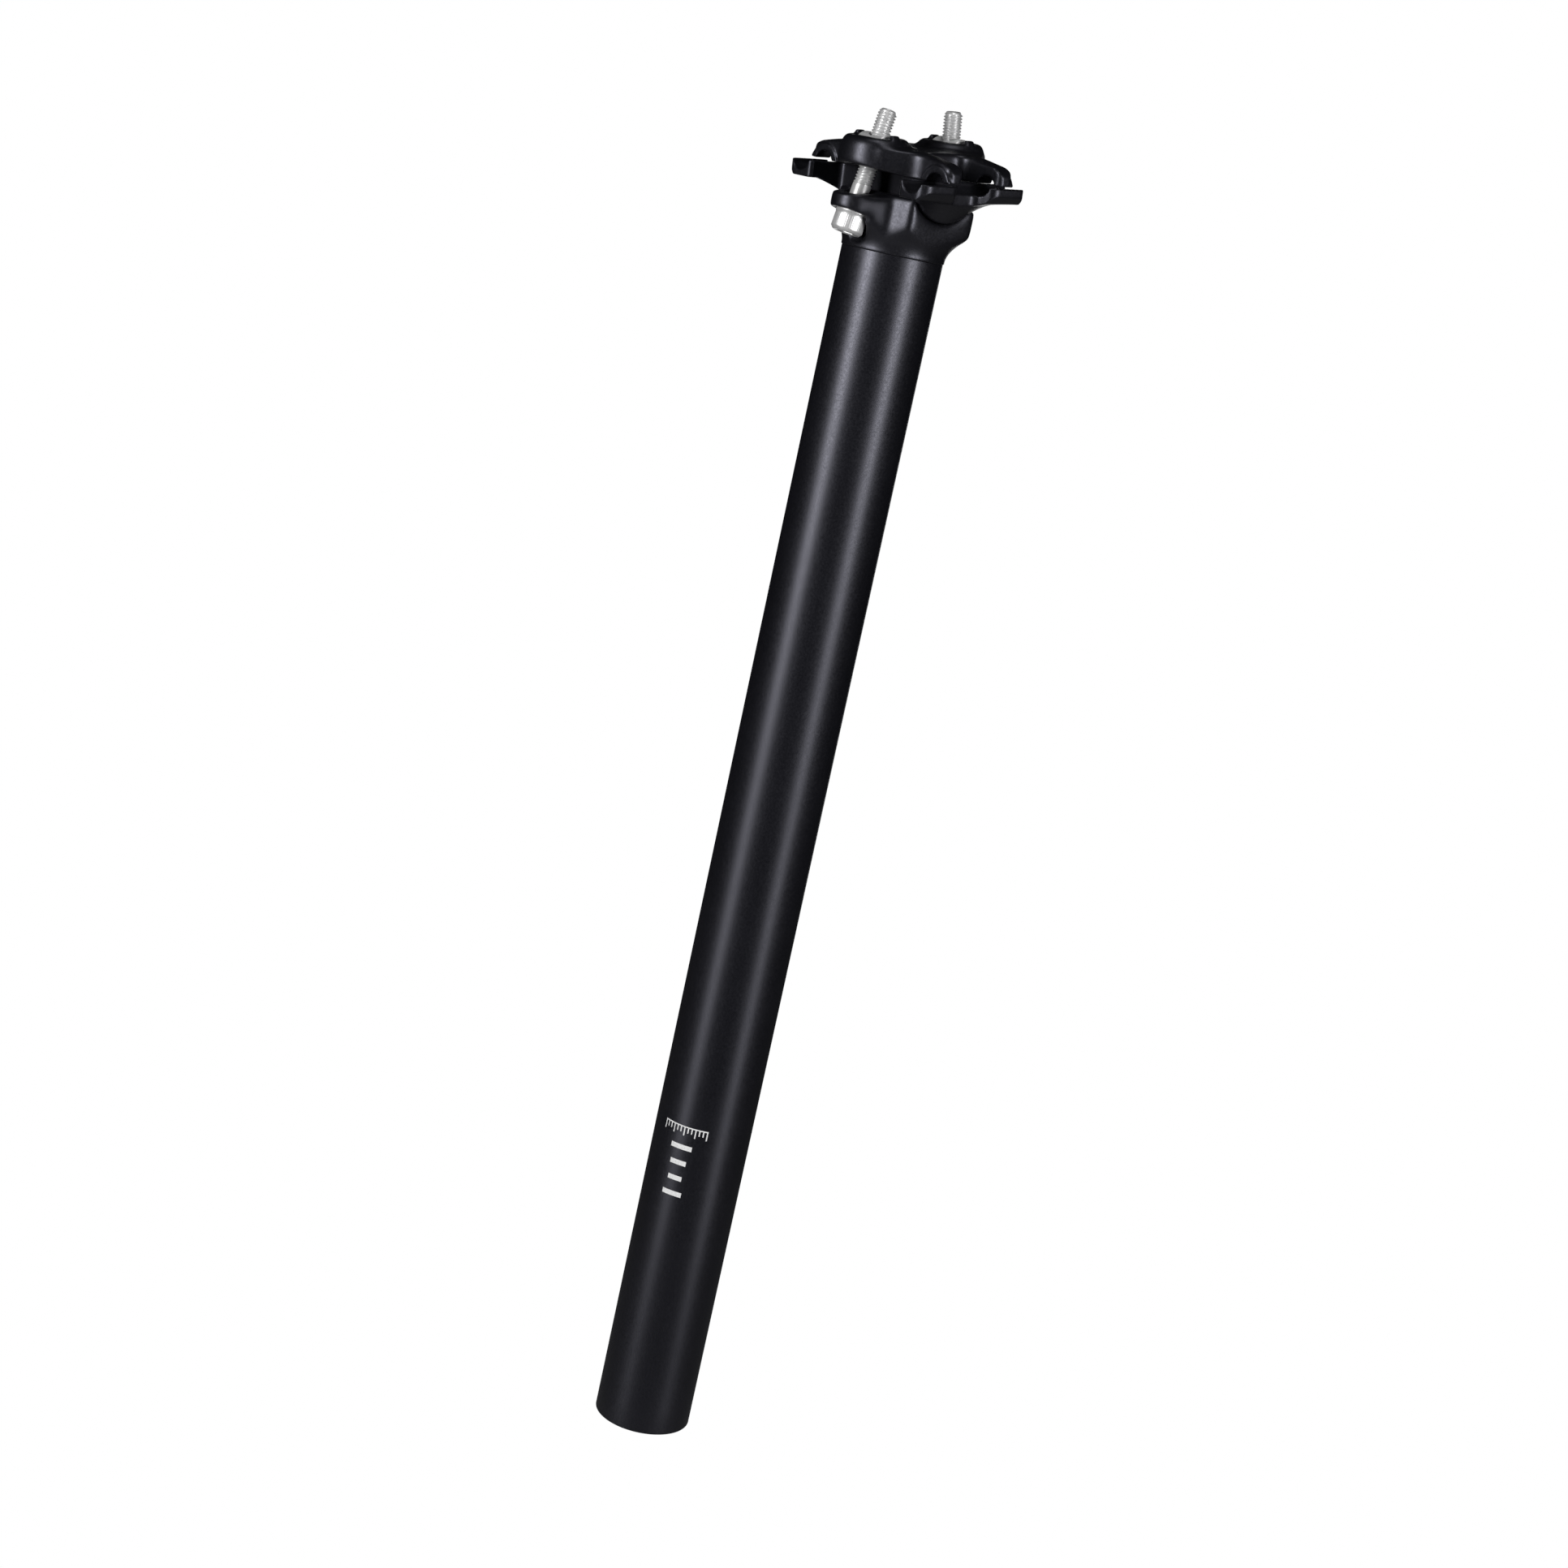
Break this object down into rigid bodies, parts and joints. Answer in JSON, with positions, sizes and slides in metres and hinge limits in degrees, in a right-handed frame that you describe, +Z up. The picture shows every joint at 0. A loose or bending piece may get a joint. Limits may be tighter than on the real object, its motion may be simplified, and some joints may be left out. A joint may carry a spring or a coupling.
{
  "type": "bicycle seatpost",
  "caption": "Rigid round seatpost with a forged head and a tilting saddle clamp, its cradle and top jaw drawn together by socket bolts in barrel nuts.",
  "frame": {"origin": "centre of the tube's bottom end", "axes": "+Z up the post, +X forward, +Y to the rider's left"},
  "size_m": [0.0454, 0.0546, 0.3754],
  "materials": {
    "tube": "satin black anodised",
    "forging": "satin black, blasted",
    "bolt_steel": "bright plated"
  },
  "bodies": {
    "post": {"post_tube": "tube", "forged_head": "forging"},
    "cradle": {"lower_cradle": "forging"},
    "jaw": {"upper_clamp": "forging"},
    "front_washer": {"front_swivel_washer": "bolt_steel"},
    "rear_washer": {"rear_swivel_washer": "bolt_steel"},
    "front_screw": {"front_bolt": "bolt_steel"},
    "rear_screw": {"rear_bolt": "bolt_steel"},
    "front_nut": {"front_barrel_nut": "bolt_steel"},
    "rear_nut": {"rear_barrel_nut": "bolt_steel"}
  },
  "joints": [
    {"name": "cradle_tilt", "type": "hinge", "parent": "post", "child": "cradle", "pos_m": [0, 0, 0.3582], "axis": [0, 1, 0], "range_deg": [-11.9, 13.1]},
    {"name": "upper_clamp_lift", "type": "slide", "parent": "cradle", "child": "jaw", "axis": [0.1201, 0, 0.9928], "range_m": [0, 0.0019]},
    {"name": "front_nut_swivel", "type": "hinge", "parent": "jaw", "child": "front_nut", "pos_m": [0.01362, 0, 0.36169], "axis": [0, 1, 0], "range_deg": [-12.63, 11.47]},
    {"name": "rear_nut_swivel", "type": "hinge", "parent": "jaw", "child": "rear_nut", "pos_m": [-0.01239, 0, 0.36484], "axis": [0, 1, 0], "range_deg": [-10.6, 9.63]},
    {"name": "front_bolt_swing", "type": "hinge", "parent": "post", "child": "front_washer", "pos_m": [0.0177, 0, 0.3392], "axis": [0, 1, 0], "range_deg": [-0.53, 0.57]},
    {"name": "rear_bolt_swing", "type": "hinge", "parent": "post", "child": "rear_washer", "pos_m": [-0.0163, 0, 0.3427], "axis": [0, 1, 0], "range_deg": [-2.37, 2.6]},
    {"name": "front_bolt_turn", "type": "hinge", "parent": "front_washer", "child": "front_screw", "pos_m": [0.0177, 0, 0.3392], "axis": [-0.1786, 0, 0.9839], "continuous": true},
    {"name": "rear_bolt_turn", "type": "hinge", "parent": "rear_washer", "child": "rear_screw", "pos_m": [-0.0163, 0, 0.3427], "axis": [0.1738, 0, 0.9848], "continuous": true}
  ],
  "couplings": [
    {"joint": "front_nut_swivel", "follows": "cradle_tilt", "ratio": -0.96},
    {"joint": "rear_nut_swivel", "follows": "cradle_tilt", "ratio": -0.805},
    {"joint": "front_bolt_swing", "follows": "cradle_tilt", "ratio": 0.04},
    {"joint": "rear_bolt_swing", "follows": "cradle_tilt", "ratio": 0.195}
  ]
}
